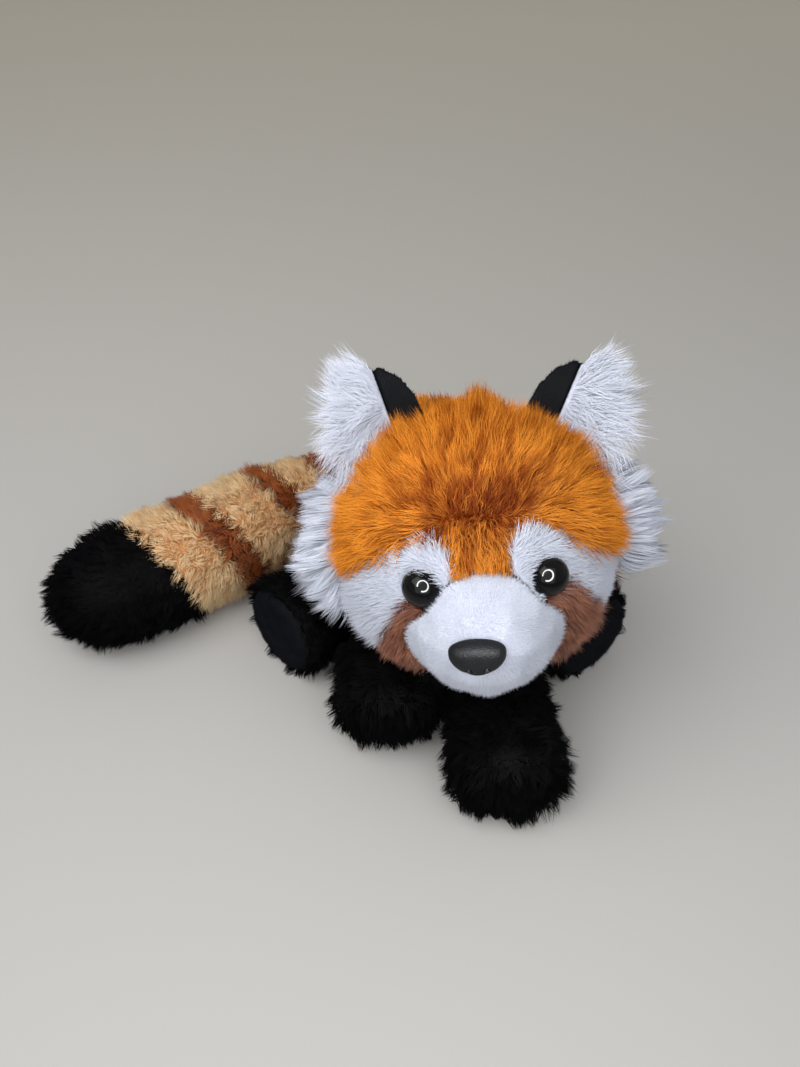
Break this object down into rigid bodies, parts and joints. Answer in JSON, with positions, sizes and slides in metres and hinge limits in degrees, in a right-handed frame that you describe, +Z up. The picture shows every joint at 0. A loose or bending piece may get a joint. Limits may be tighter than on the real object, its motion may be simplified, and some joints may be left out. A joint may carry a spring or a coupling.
{
  "type": "plush red panda",
  "caption": "Stuffed red panda that lies on its belly, with a sewn panelled head, pushed-in eyes and nose, flexing ears, splayed legs and a banded tail that sweeps.",
  "frame": {"origin": "on the floor, in the flat patch of the belly that the toy lies on", "axes": "+Z up, the toy faces -Y, +X is on the right as seen from in front"},
  "size_m": [0.2299, 0.1778, 0.1284],
  "materials": {
    "orange_pile": "long pile, streaked",
    "white_plush": "short plush",
    "white_pile": "long shaggy pile",
    "brown_pile": "pile",
    "black_pile": "shaggy pile",
    "black_velour": "short velour",
    "tan_pile": "wavy pile",
    "stripe_pile": "wavy pile",
    "eye_gloss": "gloss",
    "nose_satin": "satin, pebbled",
    "washer_plastic": "plain",
    "filling": "fibre filling",
    "pellet_cloth": "woven cotton"
  },
  "bodies": {
    "torso": {"back_panel_left": "orange_pile", "back_panel_right": "orange_pile", "belly_panel": "black_pile", "body_filling": "filling", "pellet_bag": "pellet_cloth"},
    "neck": {"neck_filling": "filling"},
    "head": {"crown_panel": "orange_pile", "nape_panel": "orange_pile", "throat_panel": "black_pile", "muzzle_panel": "white_plush", "nose": "nose_satin", "nose_washer": "washer_plastic", "head_filling": "filling", "tear_panel_left": "brown_pile", "tear_panel_right": "brown_pile", "cheek_panel_left": "white_plush", "cheek_panel_right": "white_plush", "cheek_ruff_left": "white_pile", "cheek_ruff_right": "white_pile", "eye_left": "eye_gloss", "eye_right": "eye_gloss", "eye_washer_left": "washer_plastic", "eye_washer_right": "washer_plastic"},
    "ear_left": {"ear_left_fur": "white_pile", "ear_left_lining": "black_velour", "ear_left_back": "black_velour"},
    "ear_right": {"ear_right_fur": "white_pile", "ear_right_lining": "black_velour", "ear_right_back": "black_velour"},
    "foreleg_left": {"foreleg_left_cover": "black_pile", "foreleg_left_sole": "black_velour", "foreleg_left_filling": "filling"},
    "foreleg_right": {"foreleg_right_cover": "black_pile", "foreleg_right_sole": "black_velour", "foreleg_right_filling": "filling"},
    "hindleg_left": {"hindleg_left_cover": "black_pile", "hindleg_left_sole": "black_velour", "hindleg_left_filling": "filling"},
    "hindleg_right": {"hindleg_right_cover": "black_pile", "hindleg_right_sole": "black_velour", "hindleg_right_filling": "filling"},
    "tail": {"tail_tan_1": "tan_pile", "tail_brown_1": "stripe_pile", "tail_tan_2": "tan_pile", "tail_brown_2": "stripe_pile", "tail_tan_3": "tan_pile", "tail_brown_3": "stripe_pile", "tail_tan_4": "tan_pile", "tail_tip": "black_pile", "tail_filling": "filling"}
  },
  "joints": [
    {"name": "neck_turn", "type": "hinge", "parent": "torso", "child": "neck", "pos_m": [0.0045, -0.0145, 0.05], "axis": [0, 0, 1], "range_deg": [-14, 14], "stiffness_Nm_per_rad": 0.6},
    {"name": "head_nod", "type": "hinge", "parent": "neck", "child": "head", "pos_m": [0.0045, -0.0145, 0.05], "axis": [1, 0, 0], "range_deg": [-15, 4], "stiffness_Nm_per_rad": 1.6},
    {"name": "ear_left_flex", "type": "hinge", "parent": "head", "child": "ear_left", "pos_m": [-0.01887, -0.02589, 0.10514], "axis": [0.9377, 0.1905, 0.2906], "range_deg": [-15, 15], "stiffness_Nm_per_rad": 0.02},
    {"name": "ear_right_flex", "type": "hinge", "parent": "head", "child": "ear_right", "pos_m": [0.03474, -0.02695, 0.10841], "axis": [0.9197, -0.2977, -0.2558], "range_deg": [-15, 15], "stiffness_Nm_per_rad": 0.02},
    {"name": "foreleg_left_swing", "type": "hinge", "parent": "torso", "child": "foreleg_left", "pos_m": [-0.0215, -0.043, 0.023], "axis": [0, 0, 1], "range_deg": [-10, 3], "stiffness_Nm_per_rad": 0.3},
    {"name": "foreleg_right_swing", "type": "hinge", "parent": "torso", "child": "foreleg_right", "pos_m": [0.0195, -0.0515, 0.0162], "axis": [0, 0, 1], "range_deg": [-3, 22], "stiffness_Nm_per_rad": 0.3},
    {"name": "hindleg_left_swing", "type": "hinge", "parent": "torso", "child": "hindleg_left", "pos_m": [-0.0395, -0.013, 0.017], "axis": [0, 0, 1], "range_deg": [-4, 8], "stiffness_Nm_per_rad": 0.3},
    {"name": "hindleg_right_swing", "type": "hinge", "parent": "torso", "child": "hindleg_right", "pos_m": [0.0436, -0.0168, 0.017], "axis": [0, 0, 1], "range_deg": [-3, 20], "stiffness_Nm_per_rad": 0.3},
    {"name": "tail_sweep", "type": "hinge", "parent": "torso", "child": "tail", "pos_m": [-0.02, 0.0605, 0.0225], "axis": [0, 0, 1], "range_deg": [-70, 4], "stiffness_Nm_per_rad": 0.3}
  ]
}
